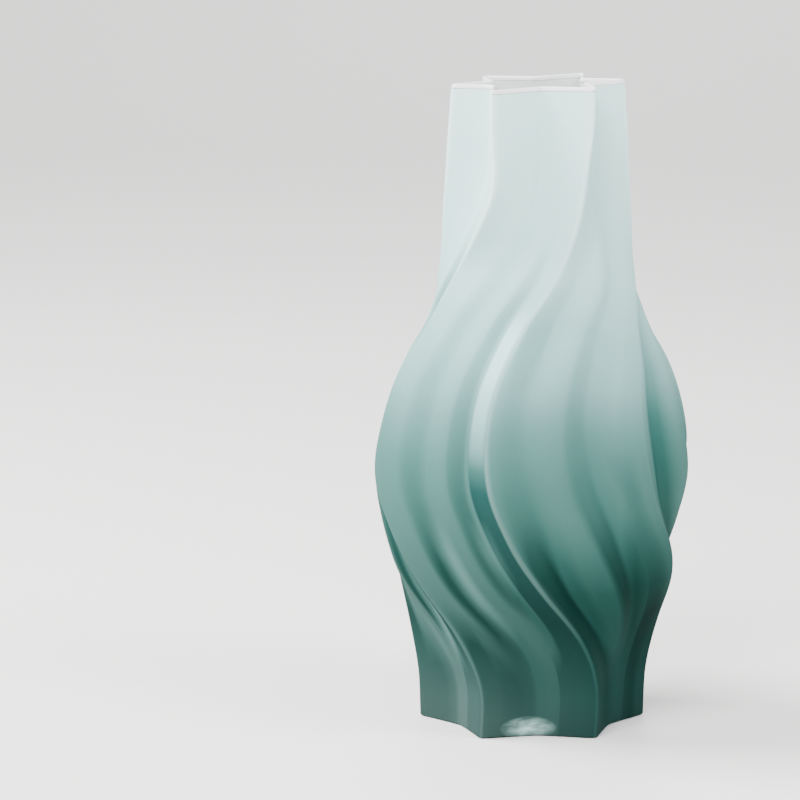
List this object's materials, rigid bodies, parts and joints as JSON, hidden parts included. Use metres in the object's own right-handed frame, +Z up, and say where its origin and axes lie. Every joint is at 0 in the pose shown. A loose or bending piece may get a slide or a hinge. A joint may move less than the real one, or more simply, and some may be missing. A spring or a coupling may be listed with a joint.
{
  "type": "art glass vase",
  "caption": "Tall blown glass vase with a swollen belly, swirling ridges and a star-shaped neck and foot, open at the mouth, for stems and water.",
  "frame": {"origin": "centre of the face that the vase stands on", "axes": "+Z up along the axis of the vase towards the mouth, -Y towards the side that the picture shows, +X to the right in that view"},
  "size_m": [0.1571, 0.1628, 0.3215],
  "materials": {
    "base_glass": "thick dark teal glass, polished underneath",
    "liner_glass": "clear glass, fire polished inside",
    "casing_glass": "satin glass, teal at the foot fading to pale aqua at the neck",
    "lip_glass": "clear polished glass"
  },
  "bodies": {
    "root": {"thick_base": "base_glass", "inner_liner": "liner_glass", "color_casing": "casing_glass", "rim_lip": "lip_glass"}
  },
  "joints": []
}
